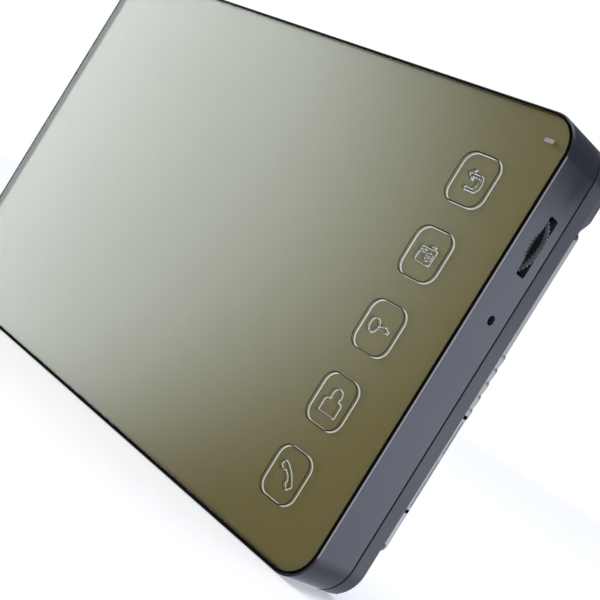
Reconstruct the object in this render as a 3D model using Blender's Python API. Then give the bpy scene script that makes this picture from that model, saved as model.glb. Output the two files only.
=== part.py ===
"""Wall-hung video intercom monitor with its steel wall bracket.

Lengths are in millimetres and become metres as each mesh is made.
X runs to the right seen from the front, Y runs back towards the wall and Z runs up.
The wall is the plane Y = 0, and the bracket's back face lies on it with its centre at the origin.
Places inside the housing are given as a depth behind the front face.
"""

import math

import bmesh
import bpy
from mathutils import Vector
from mathutils.geometry import tessellate_polygon

MM = 0.001

# Housing
WIDTH = 220.0
HEIGHT = 137.0
CORNER = 10.5
FRONT_DEPTH = 14.7
BODY_DEPTH = 20.5
STAND_OFF = 3.7
WALL = 2.2
BACK_WALL = 2.0
GAP = 0.3
PARTING = 0.5
RIM_INSET = 1.15
LIP_DEPTH = 2.05
LIP_WALL = 1.5

# Depths behind the front face
PANEL = (0.0, 2.5)
TAPE = (2.8, 3.3)
WEB = (3.6, 5.1)
LCD_GLASS = (2.8, 4.0)
LIGHT_GUIDE = (4.3, 6.3)
LCD_TRAY = (2.8, 8.0)
TRAY_FLOOR = 6.6
TOUCH_SPRING = (2.8, 5.6)
TOUCH_BOARD = (5.9, 7.1)
WHEEL = (7.4, 9.6)
WHEEL_SLOT = (6.9, 10.7)
VOLUME_POT = (9.9, 12.75)
MAIN_BOARD = (13.05, 14.65)
REAR_PARTS = (14.95, 18.2)

# Display, left of the column of touch keys
LCD_CENTRE = (-13.0, 0.0)
LCD_SIZE = (166.0, 101.0)
TRAY_WALL = 0.8
RIBBON_SHEET = 0.4
RIBBON_BEND = 2.0
LCD_RIBBON_WIDTH = 24.0
LCD_RIBBON_START = 6.8
LCD_RIBBON_END_Z = -44.0

# Column of touch keys
KEY_X = 87.4
KEY_TOP_Z = 44.0
KEY_PITCH = 22.8
KEY_NAMES = ("return", "camera", "key", "padlock", "handset")
SPRING_RADII = (4.5, 3.5)
TOUCH_BOARD_REACH = 7.5
TOUCH_BOARD_Z = (-54.5, 52.0)
TOUCH_RIBBON_WIDTH = 8.0
TOUCH_RIBBON_Z = -30.4

# Volume wheel, turning about an axis along Y
WHEEL_RADIUS = 11.5
WHEEL_PROUD = 1.9
WHEEL_X = WIDTH / 2 + WHEEL_PROUD - WHEEL_RADIUS
WHEEL_Z = 36.2
WHEEL_SLOT_HEIGHT = 16.9
SLOT_WALL = 1.0
SPINDLE_RADIUS = 1.5
RELIEF_EXTRA = 2.4
WHEEL_BEVEL = 0.35
POT_REACH = (5.5, 4.0)

# Microphone behind the right side wall
MICROPHONE_Z = 14.5
MICROPHONE_DEPTH = 8.6
MICROPHONE_HOLE = 1.25
BOOT_RADIUS = 3.2
BOOT_LENGTH = 4.2
CAPSULE_RADIUS = 2.0
CAPSULE_LENGTH = 2.5

# Status light near the top right corner
STATUS_X = 102.3
STATUS_Z = 60.5
STATUS_SIZE = (3.0, 1.1)
STATUS_WINDOW = (STATUS_SIZE[0] + 2 * GAP, STATUS_SIZE[1] + 2 * GAP)
STATUS_PIPE = (2.8, 7.2)
STATUS_LED = (7.5, 8.2)
STATUS_BOARD = (8.5, 9.5)
STATUS_BOARD_SIZE = (7.0, 6.0)

# Fixings
BOSS_PLACES = ((-92.0, -60.2), (92.0, -60.2), (-92.0, 60.2), (92.0, 60.2))
BOSS_RADIUS = 3.2
PILOT_RADIUS = 1.6
PILOT_START = 7.5
SCREW_TIP = 8.0
SCREW_HEAD = (BODY_DEPTH - 1.2, BODY_DEPTH - 0.2)
SCREW_HEAD_RADIUS = 2.8
SCREW_SHANK_RADIUS = 1.3
SCREW_SINK = 1.5
SCREW_SINK_RADIUS = 3.3
SCREW_HOLE_RADIUS = 1.7
SCREW_CROSS = (2.6, 0.6)
SCREW_CROSS_DEPTH = 0.5
POST_PLACES = ((-58.0, -45.0), (74.0, -45.0), (-58.0, 45.0), (74.0, 45.0))
POST_RADIUS = 2.6
POST_HOLE_RADIUS = 1.3
POST_HOLE_FLOOR = 1.2
BOARD_SCREW_RADII = (2.3, 1.0)
BOARD_SCREW_HEAD = 1.0
BOARD_SCREW_END = 18.6
BOARD_HOLE_RADIUS = 1.4

# Main board
BOARD_LOW = (-64.0, -50.0)
BOARD_HIGH = (105.0, 50.0)
PROCESSOR = ((10.0, 8.0), (20.0, 20.0), 1.4)
VIDEO_DECODER = ((-24.0, 16.0), (12.0, 12.0), 1.2)
INDUCTOR_PLACES = ((-40.0, -20.0), (-26.0, -20.0))
INDUCTOR_SIZE = (10.0, 3.8)
CAPACITOR_PLACES = ((30.0, -34.0), (42.0, -34.0), (54.0, -34.0))
CAPACITOR_RADIUS = 4.0
CAPACITOR_TOP = 8.5

# Speaker, facing the wall
SPEAKER = (-86.0, -20.0)
SPEAKER_RADIUS = 16.0
SPEAKER_FRAME = (13.6, 17.4)
SPEAKER_BOWL = 14.6
SPEAKER_WALL = 1.2
SPEAKER_NECK_RADIUS = 8.0
MAGNET = (9.0, 13.3)
MAGNET_RADIUS = 9.0
CONE_DEPTHS = (15.6, 16.6)
CONE_INSET = 1.6
GASKET = (17.7, 18.2)
GASKET_WIDTH = 2.5
GRILLE_ROWS = 3
GRILLE_PITCH = 3.4
GRILLE_SLOT = 1.6
GRILLE_INSET = 4.0

# Corner feet left standing on the back of the housing
FOOT_WIDTH = 16.0
FOOT_RISE = 2.35
UPPER_FEET_Z = 46.3
LOWER_FEET_Z = -59.4
LOWER_FEET_INSET = 6.0

# Row of terminal sockets
SOCKET_Z = -26.0
SOCKET_PITCH = 16.0
SOCKET_SIZE = (12.4, 5.8)
SOCKET_WALL = 1.0
SOCKET_FLOOR = 1.2
SOCKET_WINDOW = (66.0, 9.0)
SOCKET_NAMES = ("door_socket_1", "door_socket_2", "monitor_socket", "power_socket")

# Rating label in its shallow recess
LABEL_LOW = (-30.5, 51.5)
LABEL_HIGH = (30.5, 62.5)
LABEL_CORNER = 1.2
LABEL_MARGIN = 0.5
LABEL_DEPTHS = (BODY_DEPTH - 0.4, BODY_DEPTH - 0.1)
LABEL_SINK = 0.7

# Wall bracket and the hooks that carry the housing
BRACKET_WIDTH = 216.0
BRACKET_Z = (-51.9, 47.7)
SHEET = 1.0
FLANGE_INSET = 0.15
FLANGE_END = 3.5
HOOK_X = 55.0
HOOK_TOPS = (34.0, -30.0)
HOOK_WIDTH = 10.0
TONGUE = 6.0
STEM = 2.0
HOOK_SHEET = 1.5
HOOK_SIDE_ROOM = 1.0
HOOK_END_ROOM = 1.2
PRESSED_SIDE_ROOM = 0.4
PRESSED_END_ROOM = 3.0
NOTCH = 1.0
NOTCH_PLACES = (-9.7, -38.6)
CABLE_WINDOW = ((-36.0, -40.0), (36.0, -14.0))
PLATE_CORNER = 3.0
PLATE_SLOT = (9.0, 4.4)
PLATE_SLOT_PLACES = ((-85.0, 27.0), (85.0, 27.0), (-85.0, -34.5), (85.0, -34.5), (-30.0, 21.0), (30.0, 21.0))

SMOOTH_ANGLE = math.radians(30.0)

# Sides of the polygons that stand for circles
COARSE = 12
MIDDLE = 20
FINE = 36


# ---------------------------------------------------------------- outlines

def arc(centre, radius, start, stop, steps):
    """Points on an arc, angles in degrees."""
    points = []
    for index in range(steps + 1):
        angle = math.radians(start + (stop - start) * index / steps)
        points.append((centre[0] + radius * math.cos(angle), centre[1] + radius * math.sin(angle)))
    return points


def circle(centre, radius, sides=MIDDLE):
    return arc(centre, radius, 0.0, 360.0, sides)[:-1]


def rectangle(low, high):
    return [(low[0], low[1]), (high[0], low[1]), (high[0], high[1]), (low[0], high[1])]


def centred(centre, size):
    """Rectangle of a size about a centre."""
    low = (centre[0] - size[0] / 2, centre[1] - size[1] / 2)
    high = (centre[0] + size[0] / 2, centre[1] + size[1] / 2)
    return rectangle(low, high)


def rounded(low, high, radius, steps=5):
    """Rectangle with round corners."""
    points = arc((high[0] - radius, high[1] - radius), radius, 0, 90, steps)
    points += arc((low[0] + radius, high[1] - radius), radius, 90, 180, steps)
    points += arc((low[0] + radius, low[1] + radius), radius, 180, 270, steps)
    points += arc((high[0] - radius, low[1] + radius), radius, 270, 360, steps)
    return points


def housing_outline(inset, steps=8):
    """The housing's rounded outline, moved in by an inset."""
    half = (WIDTH / 2 - inset, HEIGHT / 2 - inset)
    return rounded((-half[0], -half[1]), half, max(CORNER - inset, 1.0), steps)


def slot_outline(centre, length, width, upright=False):
    """Slot with round ends, lying along X or upright along Z."""
    reach = (length - width) / 2
    points = arc((reach, 0), width / 2, -90, 90, 6) + arc((-reach, 0), width / 2, 90, 270, 6)
    if upright:
        points = [(v, -u) for u, v in points]
    return [(centre[0] + u, centre[1] + v) for u, v in points]


# ---------------------------------------------------------------- solids

def at_depth(depth):
    """World Y of a depth behind the front face."""
    return depth - BODY_DEPTH - STAND_OFF


def place(axis, u, v, w):
    """Point from an outline's two coordinates and a height along the axis."""
    if axis == "X":
        return Vector((w, u, v)) * MM
    if axis == "Z":
        return Vector((u, v, w)) * MM
    return Vector((u, w, v)) * MM


def add_prism(mesh, outline, span, holes=(), axis="Y"):
    """Add a closed prism between two heights, with holes right through it."""
    loops = [outline] + list(holes)
    flat = [[Vector((u, v, 0.0)) for u, v in loop] for loop in loops]
    ends = []
    for height in span:
        ends.append([mesh.verts.new(place(axis, u, v, height)) for loop in loops for u, v in loop])
    pieces = tessellate_polygon(flat) if holes else [range(len(outline))]
    faces = []
    for corners in pieces:
        for end in ends:
            faces.append(mesh.faces.new([end[index] for index in corners]))
    first = 0
    for loop in loops:
        count = len(loop)
        for step in range(count):
            near = first + step
            far = first + (step + 1) % count
            faces.append(mesh.faces.new((ends[0][near], ends[0][far], ends[1][far], ends[1][near])))
        first += count
    bmesh.ops.recalc_face_normals(mesh, faces=faces)


def depth_span(depths):
    return (at_depth(depths[0]), at_depth(depths[1]))


def material(name, colour, roughness, metallic=0.0):
    shader = bpy.data.materials.new(name)
    shader.use_nodes = True
    surface = shader.node_tree.nodes["Principled BSDF"]
    surface.inputs["Base Color"].default_value = (*colour, 1.0)
    surface.inputs["Roughness"].default_value = roughness
    surface.inputs["Metallic"].default_value = metallic
    return shader


def finish(name, mesh, shader, group, location=(0.0, 0.0, 0.0)):
    """Turn a mesh into a named object of one group."""
    data = bpy.data.meshes.new(name)
    mesh.to_mesh(data)
    mesh.free()
    data.shade_smooth()
    data.set_sharp_from_angle(angle=SMOOTH_ANGLE)
    data.materials.append(shader)
    item = bpy.data.objects.new(name, data)
    item.location = Vector(location) * MM
    item.parent = group
    bpy.context.scene.collection.objects.link(item)
    return item


def make(name, shader, group, prisms, location=(0.0, 0.0, 0.0)):
    """One object from a list of prism arguments."""
    mesh = bmesh.new()
    for prism in prisms:
        add_prism(mesh, *prism)
    return finish(name, mesh, shader, group, location)


def combine(item, operation, prisms):
    """Cut prisms away from an object, or join them to it."""
    tool = make(f"{item.name}_{operation.lower()}_{len(item.modifiers)}", TOOL, None, prisms)
    tool.hide_render = True
    tool.display_type = "WIRE"
    change = item.modifiers.new(tool.name, "BOOLEAN")
    change.operation = operation
    change.solver = "EXACT"
    change.object = tool


def group_at(name, location=(0.0, 0.0, 0.0)):
    empty = bpy.data.objects.new(name, None)
    empty.location = Vector(location) * MM
    bpy.context.scene.collection.objects.link(empty)
    return empty


# ---------------------------------------------------------------- housing shells

def front_shell():
    """Tray with a front web, open at the back, glossy all round."""
    back = FRONT_DEPTH - PARTING / 2
    shell = make("front_shell", GLOSS_BLACK, HOUSING, [(housing_outline(0.0), depth_span((0.0, back)))])
    bosses = [circle(spot, BOSS_RADIUS) for spot in BOSS_PLACES]
    panel_pocket = (housing_outline(RIM_INSET - GAP), depth_span((-1.0, WEB[0])))
    cavity = (housing_outline(WALL), depth_span((WEB[1], back + 1.0)), bosses)
    combine(shell, "DIFFERENCE", [panel_pocket, cavity])

    through = depth_span((WEB[0] - 1.0, WEB[1] + 1.0))
    lcd_window = (centred(LCD_CENTRE, (LCD_SIZE[0] + 2 * GAP, LCD_SIZE[1] + 2 * GAP)), through)
    key_window = (touch_outline(1.5), through)
    light_window = (centred((STATUS_X, STATUS_Z), STATUS_WINDOW), through)
    side = (WIDTH / 2 - WALL - 2.0, WIDTH / 2 + 1.0)
    slot_low = (at_depth(WHEEL_SLOT[0]), WHEEL_Z - WHEEL_SLOT_HEIGHT / 2)
    slot_high = (at_depth(WHEEL_SLOT[1]), WHEEL_Z + WHEEL_SLOT_HEIGHT / 2)
    wheel_slot = (rounded(slot_low, slot_high, 0.6, 3), side, (), "X")
    sound_spot = (at_depth(MICROPHONE_DEPTH), MICROPHONE_Z)
    sound_hole = (circle(sound_spot, MICROPHONE_HOLE), side, (), "X")
    pilot = depth_span((PILOT_START, back + 1.0))
    pilots = [(circle(spot, PILOT_RADIUS, COARSE), pilot) for spot in BOSS_PLACES]
    combine(shell, "DIFFERENCE", [lcd_window, key_window, light_window, wheel_slot, sound_hole] + pilots)
    slot_centre = (at_depth((WHEEL_SLOT[0] + WHEEL_SLOT[1]) / 2), WHEEL_Z)
    relief = centred(slot_centre, (WHEEL_SLOT[1] - WHEEL_SLOT[0], WHEEL_SLOT_HEIGHT + RELIEF_EXTRA))
    combine(shell, "DIFFERENCE", [(relief, (side[0], WIDTH / 2 - SLOT_WALL), (), "X")])


def rear_shell():
    """Shallow tray that closes the back and hangs on the bracket's hooks."""
    face = FRONT_DEPTH + PARTING / 2
    slab = (housing_outline(0.0), depth_span((face, BODY_DEPTH + FOOT_RISE)))
    shell = make("rear_shell", SATIN_BLACK, HOUSING, [slab])
    combine(shell, "DIFFERENCE", [(foot_cut_outline(), depth_span((BODY_DEPTH, BODY_DEPTH + 3.0)))])
    lip_hole = housing_outline(WALL + GAP + LIP_WALL + GAP)
    lip = (housing_outline(WALL + GAP), depth_span((face - LIP_DEPTH, face + 1.0)), [lip_hole])
    combine(shell, "UNION", [lip])

    islands = [circle(spot, BOSS_RADIUS) for spot in BOSS_PLACES]
    islands += [circle(spot, POST_RADIUS) for spot in POST_PLACES]
    inner = housing_outline(WALL + GAP + LIP_WALL)
    cavity = (inner, depth_span((face - LIP_DEPTH - 1.0, BODY_DEPTH - BACK_WALL)), islands)
    combine(shell, "DIFFERENCE", [cavity])

    through = depth_span((BODY_DEPTH - BACK_WALL - 1.0, BODY_DEPTH + 1.0))
    openings = [(centred((0.0, SOCKET_Z), SOCKET_WINDOW), through)]
    reach = HOOK_WIDTH / 2 + HOOK_SIDE_ROOM
    for x in (-HOOK_X, HOOK_X):
        for top in HOOK_TOPS:
            low = (x - reach, top - TONGUE - STEM - GAP - HOOK_END_ROOM)
            openings.append((rectangle(low, (x + reach, top)), through))
    for row in range(-GRILLE_ROWS, GRILLE_ROWS + 1):
        shift = row * GRILLE_PITCH
        half = math.sqrt((SPEAKER_RADIUS - GRILLE_INSET) ** 2 - shift ** 2)
        openings.append((slot_outline((SPEAKER[0], SPEAKER[1] + shift), 2 * half, GRILLE_SLOT), through))
    screw_hole = depth_span((face - 1.0, BODY_DEPTH - SCREW_SINK + 0.1))
    post_hole = depth_span((face - 1.0, BODY_DEPTH - POST_HOLE_FLOOR))
    openings += [(circle(spot, SCREW_HOLE_RADIUS, COARSE), screw_hole) for spot in BOSS_PLACES]
    openings += [(circle(spot, POST_HOLE_RADIUS, COARSE), post_hole) for spot in POST_PLACES]
    combine(shell, "DIFFERENCE", openings)

    sink = depth_span((BODY_DEPTH - SCREW_SINK, BODY_DEPTH + 1.0))
    recesses = [(circle(spot, SCREW_SINK_RADIUS), sink) for spot in BOSS_PLACES]
    low = (LABEL_LOW[0] - LABEL_MARGIN, LABEL_LOW[1] - LABEL_MARGIN)
    high = (LABEL_HIGH[0] + LABEL_MARGIN, LABEL_HIGH[1] + LABEL_MARGIN)
    label_sink = depth_span((BODY_DEPTH - LABEL_SINK, BODY_DEPTH + 1.0))
    recesses.append((rounded(low, high, LABEL_CORNER, 3), label_sink))
    combine(shell, "DIFFERENCE", recesses)


def rating_label():
    outline = rounded(LABEL_LOW, LABEL_HIGH, LABEL_CORNER, 3)
    make("rating_label", LABEL, HOUSING, [(outline, depth_span(LABEL_DEPTHS))])


def foot_cut_outline():
    """Outline that leaves the four corner feet, the lower two set in from the sides."""
    inner = WIDTH / 2 - FOOT_WIDTH
    outer = WIDTH / 2 - LOWER_FEET_INSET
    far = WIDTH
    left = [(-inner, far), (-inner, UPPER_FEET_Z), (-far, UPPER_FEET_Z), (-far, -far), (-outer, -far),
            (-outer, LOWER_FEET_Z), (-inner, LOWER_FEET_Z), (-inner, -far)]
    return left + [(-x, z) for x, z in reversed(left)]


def housing_screws():
    for index, spot in enumerate(BOSS_PLACES, start=1):
        floor = SCREW_HEAD[1] - SCREW_CROSS_DEPTH
        head = (circle(spot, SCREW_HEAD_RADIUS), depth_span(SCREW_HEAD))
        shank = (circle(spot, SCREW_SHANK_RADIUS, COARSE), depth_span((SCREW_TIP, floor)))
        screw = make(f"housing_screw_{index}", STEEL, HOUSING, [head])
        combine(screw, "UNION", [shank])
        for size in (SCREW_CROSS, (SCREW_CROSS[1], SCREW_CROSS[0])):
            combine(screw, "DIFFERENCE", [(centred(spot, size), depth_span((floor, BODY_DEPTH)))])


# ---------------------------------------------------------------- front panel and display

def mirror_panel():
    make("mirror_panel", MIRROR, HOUSING, [(housing_outline(RIM_INSET), depth_span(PANEL))])
    window = centred(LCD_CENTRE, (LCD_SIZE[0] + 4.0, LCD_SIZE[1] + 4.0))
    holes = [window, touch_outline(2.5), centred((STATUS_X, STATUS_Z), (4.6, 3.0))]
    make("panel_tape", TAPE_BLACK, HOUSING, [(housing_outline(RIM_INSET + 1.0), depth_span(TAPE), holes)])


def display():
    inner = (LCD_SIZE[0] - 2 * TRAY_WALL, LCD_SIZE[1] - 2 * TRAY_WALL)
    sheet = (inner[0] - 2 * GAP, inner[1] - 2 * GAP)
    tray = make("lcd_tray", STEEL, HOUSING, [(centred(LCD_CENTRE, LCD_SIZE), depth_span(LCD_TRAY))])
    combine(tray, "DIFFERENCE", [(centred(LCD_CENTRE, inner), depth_span((LCD_TRAY[0] - 1.0, TRAY_FLOOR)))])
    make("light_guide", CLEAR, HOUSING, [(centred(LCD_CENTRE, sheet), depth_span(LIGHT_GUIDE))])
    make("lcd_glass", DISPLAY_GLASS, HOUSING, [(centred(LCD_CENTRE, sheet), depth_span(LCD_GLASS))])
    edge = LCD_CENTRE[1] - LCD_SIZE[1] / 2 - GAP
    bend = edge - RIBBON_BEND
    near = at_depth(LCD_RIBBON_START)
    far = at_depth(VOLUME_POT[1])
    strip = RIBBON_SHEET
    route = [(near, edge), (near, bend), (far, bend), (far, LCD_RIBBON_END_Z),
             (far - strip, LCD_RIBBON_END_Z), (far - strip, bend + strip),
             (near + strip, bend + strip), (near + strip, edge)]
    across = (LCD_CENTRE[0] - LCD_RIBBON_WIDTH / 2, LCD_CENTRE[0] + LCD_RIBBON_WIDTH / 2)
    make("lcd_ribbon", RIBBON, HOUSING, [(route, across, (), "X")])


def touch_outline(margin):
    """Outline round the column of touch springs."""
    low = KEY_TOP_Z - (len(KEY_NAMES) - 1) * KEY_PITCH
    reach = SPRING_RADII[0] + margin
    return rectangle((KEY_X - reach, low - reach), (KEY_X + reach, KEY_TOP_Z + reach))


def touch_keys():
    reach = TOUCH_BOARD_REACH
    board = rectangle((KEY_X - reach, TOUCH_BOARD_Z[0]), (KEY_X + reach, TOUCH_BOARD_Z[1]))
    make("touch_board", BOARD_GREEN, HOUSING, [(board, depth_span(TOUCH_BOARD))])
    for index, name in enumerate(KEY_NAMES):
        centre = (KEY_X, KEY_TOP_Z - index * KEY_PITCH)
        ring = (circle(centre, SPRING_RADII[0]), depth_span(TOUCH_SPRING), [circle(centre, SPRING_RADII[1])])
        make(f"touch_spring_{name}", STEEL, HOUSING, [ring])
    half = TOUCH_RIBBON_WIDTH / 2
    ribbon = rectangle((KEY_X - half, TOUCH_RIBBON_Z), (KEY_X + half, TOUCH_RIBBON_Z + RIBBON_SHEET))
    make("touch_ribbon", RIBBON, HOUSING, [(ribbon, depth_span((TOUCH_BOARD[1] + GAP, VOLUME_POT[1])))])


def status_light():
    centre = (STATUS_X, STATUS_Z)
    board = centred((STATUS_X - 1.4, STATUS_Z), STATUS_BOARD_SIZE)
    make("status_light_pipe", CLEAR, HOUSING, [(centred(centre, STATUS_SIZE), depth_span(STATUS_PIPE))])
    make("status_led", LABEL, HOUSING, [(centred(centre, (3.2, 1.6)), depth_span(STATUS_LED))])
    make("status_board", BOARD_GREEN, HOUSING, [(board, depth_span(STATUS_BOARD))])


# ---------------------------------------------------------------- electronics

def main_board():
    holes = [circle(spot, BOARD_HOLE_RADIUS, COARSE) for spot in POST_PLACES]
    outline = rectangle(BOARD_LOW, BOARD_HIGH)
    make("main_board", BOARD_GREEN, HOUSING, [(outline, depth_span(MAIN_BOARD), holes)])
    seat = MAIN_BOARD[0] - GAP
    head = depth_span((seat - BOARD_SCREW_HEAD, seat))
    shank = depth_span((seat - BOARD_SCREW_HEAD / 2, BOARD_SCREW_END))
    for index, spot in enumerate(POST_PLACES, start=1):
        screw = make(f"board_screw_{index}", STEEL, HOUSING, [(circle(spot, BOARD_SCREW_RADII[0]), head)])
        combine(screw, "UNION", [(circle(spot, BOARD_SCREW_RADII[1], COARSE), shank)])


def board_parts():
    front = VOLUME_POT[1]
    for name, (centre, size, height) in (("processor", PROCESSOR), ("video_decoder", VIDEO_DECODER)):
        make(name, CHIP, HOUSING, [(centred(centre, size), depth_span((front - height, front)))])
    half = INDUCTOR_SIZE[0] / 2
    for index, (x, z) in enumerate(INDUCTOR_PLACES, start=1):
        outline = rounded((x - half, z - half), (x + half, z + half), 1.5, 3)
        make(f"inductor_{index}", CHIP, HOUSING, [(outline, depth_span((front - INDUCTOR_SIZE[1], front)))])
    for index, spot in enumerate(CAPACITOR_PLACES, start=1):
        can = (circle(spot, CAPACITOR_RADIUS), depth_span((CAPACITOR_TOP, front)))
        make(f"capacitor_{index}", ALUMINIUM, HOUSING, [can])


def sockets():
    """Row of open shrouds that face back through the rear shell's window."""
    inner = (SOCKET_SIZE[0] - 2 * SOCKET_WALL, SOCKET_SIZE[1] - 2 * SOCKET_WALL)
    for index, name in enumerate(SOCKET_NAMES):
        centre = ((index - (len(SOCKET_NAMES) - 1) / 2) * SOCKET_PITCH, SOCKET_Z)
        body = (centred(centre, SOCKET_SIZE), depth_span((REAR_PARTS[0], BODY_DEPTH - GAP)))
        shell = make(name, SOCKET_WHITE, HOUSING, [body])
        mouth = (centred(centre, inner), depth_span((REAR_PARTS[0] + SOCKET_FLOOR, BODY_DEPTH)))
        combine(shell, "DIFFERENCE", [mouth])


def speaker():
    outer = circle(SPEAKER, SPEAKER_RADIUS, FINE)
    frame = make("speaker_frame", STEEL, HOUSING, [(outer, depth_span(SPEAKER_FRAME))])
    bowl = circle(SPEAKER, SPEAKER_RADIUS - SPEAKER_WALL, FINE)
    neck = circle(SPEAKER, SPEAKER_NECK_RADIUS, FINE)
    combine(frame, "DIFFERENCE", [(bowl, depth_span((SPEAKER_BOWL, SPEAKER_FRAME[1] + 1.0)))])
    combine(frame, "DIFFERENCE", [(neck, depth_span((SPEAKER_FRAME[0] - 1.0, SPEAKER_BOWL + 1.0)))])
    make("speaker_magnet", STEEL, HOUSING, [(circle(SPEAKER, MAGNET_RADIUS, FINE), depth_span(MAGNET))])
    cone = circle(SPEAKER, SPEAKER_RADIUS - CONE_INSET, FINE)
    make("speaker_cone", CONE, HOUSING, [(cone, depth_span(CONE_DEPTHS))])
    opening = circle(SPEAKER, SPEAKER_RADIUS - GASKET_WIDTH, FINE)
    make("speaker_gasket", FOAM, HOUSING, [(outer, depth_span(GASKET), [opening])])


def microphone():
    spot = (at_depth(MICROPHONE_DEPTH), MICROPHONE_Z)
    inner_wall = WIDTH / 2 - WALL - GAP
    outer = (circle(spot, BOOT_RADIUS), (inner_wall - BOOT_LENGTH, inner_wall), (), "X")
    boot = make("microphone_boot", RUBBER, HOUSING, [outer])
    bore = circle(spot, CAPSULE_RADIUS + GAP)
    combine(boot, "DIFFERENCE", [(bore, (inner_wall - BOOT_LENGTH - 1.0, inner_wall - 1.0), (), "X")])
    throat = circle(spot, MICROPHONE_HOLE - 0.05, COARSE)
    combine(boot, "DIFFERENCE", [(throat, (inner_wall - 2.0, inner_wall + 1.0), (), "X")])
    seat = inner_wall - 1.0 - GAP
    capsule = (circle(spot, CAPSULE_RADIUS), (seat - CAPSULE_LENGTH, seat), (), "X")
    make("microphone_capsule", FOAM, HOUSING, [capsule])


def volume_control():
    axis = (WHEEL_X, WHEEL_Z)
    back, front = POT_REACH
    pot = rectangle((axis[0] - back, axis[1] - back), (axis[0] + front, axis[1] + back))
    well = [circle(axis, SPINDLE_RADIUS + GAP)]
    make("volume_pot", CHIP, HOUSING, [(pot, depth_span(VOLUME_POT), well)])
    pivot = group_at("volume_axis", (axis[0], 0.0, axis[1]))
    centre = (0.0, 0.0)
    bore = [circle(centre, SPINDLE_RADIUS + GAP)]
    disc = (circle(centre, WHEEL_RADIUS, 48), depth_span(WHEEL), bore)
    wheel = make("volume_wheel", GLOSS_BLACK, pivot, [disc])
    bevel = wheel.modifiers.new("rim", "BEVEL")
    bevel.width = WHEEL_BEVEL * MM
    bevel.segments = 1
    bevel.limit_method = "ANGLE"
    bevel.angle_limit = math.radians(60.0)
    make("volume_spindle", ALUMINIUM, pivot,
         [(circle(centre, SPINDLE_RADIUS), depth_span((WHEEL[0], VOLUME_POT[1] - 0.4)))])


# ---------------------------------------------------------------- wall bracket

def wall_bracket():
    """Pressed steel plate with folded side flanges and four hooks that point up."""
    half = BRACKET_WIDTH / 2
    holes = [rounded(CABLE_WINDOW[0], CABLE_WINDOW[1], PLATE_CORNER, 4)]
    reach = HOOK_WIDTH / 2 + PRESSED_SIDE_ROOM
    for x in (-HOOK_X, HOOK_X):
        for top in HOOK_TOPS:
            holes.append(rectangle((x - reach, top), (x + reach, top - GAP + TONGUE + PRESSED_END_ROOM)))
    holes += [slot_outline(place, *PLATE_SLOT, upright=True) for place in PLATE_SLOT_PLACES]
    plate = rounded((-half, BRACKET_Z[0]), (half, BRACKET_Z[1]), PLATE_CORNER, 4)
    bracket = make("wall_bracket", ZINC, BRACKET, [(plate, (-SHEET, 0.0), holes)])

    rise = -STAND_OFF + GAP
    flanges = []
    for side in (-1, 1):
        span = sorted((side * (half - SHEET - FLANGE_INSET), side * (half - FLANGE_INSET)))
        flanges.append((flange_outline(rise), span, (), "X"))
    combine(bracket, "UNION", flanges)
    hooks = []
    front = at_depth(BODY_DEPTH - BACK_WALL) - GAP
    for x in (-HOOK_X, HOOK_X):
        for top in HOOK_TOPS:
            seat = top - GAP
            width = (x - HOOK_WIDTH / 2, x + HOOK_WIDTH / 2)
            hook = [(-SHEET / 2, seat - STEM), (-SHEET / 2, seat), (front, seat), (front, seat + TONGUE),
                    (front - HOOK_SHEET, seat + TONGUE), (front - HOOK_SHEET, seat - STEM)]
            hooks.append((hook, width, (), "X"))
    combine(bracket, "UNION", hooks)


def flange_outline(rise):
    """Side flange seen along X, with two small square notches in its free edge."""
    low = BRACKET_Z[0] + FLANGE_END
    high = BRACKET_Z[1] - FLANGE_END
    points = [(-SHEET / 2, low), (-SHEET / 2, high), (rise, high)]
    for z in NOTCH_PLACES:
        points += [(rise, z + NOTCH / 2), (rise + NOTCH, z + NOTCH / 2),
                   (rise + NOTCH, z - NOTCH / 2), (rise, z - NOTCH / 2)]
    points.append((rise, low))
    return points


for leftover in list(bpy.data.objects):
    bpy.data.objects.remove(leftover, do_unlink=True)

GLOSS_BLACK = material("gloss_black", (0.012, 0.013, 0.016), 0.12)
SATIN_BLACK = material("satin_black", (0.02, 0.021, 0.024), 0.3)
MIRROR = material("bronze_mirror", (0.36, 0.33, 0.2), 0.06, 0.9)
TAPE_BLACK = material("foam_tape", (0.03, 0.03, 0.03), 0.9)
DISPLAY_GLASS = material("display_glass", (0.02, 0.02, 0.03), 0.1)
CLEAR = material("clear_acrylic", (0.85, 0.88, 0.9), 0.08)
STEEL = material("bright_steel", (0.6, 0.6, 0.6), 0.3, 1.0)
ZINC = material("zinc_plate", (0.72, 0.73, 0.74), 0.4, 1.0)
ALUMINIUM = material("aluminium", (0.75, 0.75, 0.76), 0.3, 1.0)
BOARD_GREEN = material("board_green", (0.02, 0.16, 0.07), 0.4)
CHIP = material("chip_black", (0.02, 0.02, 0.02), 0.5)
SOCKET_WHITE = material("socket_white", (0.8, 0.78, 0.7), 0.45)
LABEL = material("label_paper", (0.85, 0.85, 0.84), 0.6)
RIBBON = material("ribbon_film", (0.55, 0.32, 0.06), 0.35)
CONE = material("cone_paper", (0.04, 0.04, 0.045), 0.8)
FOAM = material("foam", (0.03, 0.03, 0.03), 0.95)
RUBBER = material("rubber", (0.02, 0.02, 0.02), 0.75)
TOOL = material("cutting_tool", (0.5, 0.5, 0.5), 0.5)

BRACKET = group_at("bracket_body")
HOUSING = group_at("housing_body")

wall_bracket()
front_shell()
rear_shell()
rating_label()
housing_screws()
mirror_panel()
display()
touch_keys()
status_light()
main_board()
board_parts()
sockets()
speaker()
microphone()
volume_control()
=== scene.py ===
"""Looks of a wall-hung video intercom monitor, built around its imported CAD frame.

Lengths are in millimetres and become metres as each mesh is made.
X runs to the right seen from the front, Y runs back towards the wall and Z runs up.
A depth is measured back from the front face of the housing.
"""

import math

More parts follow.
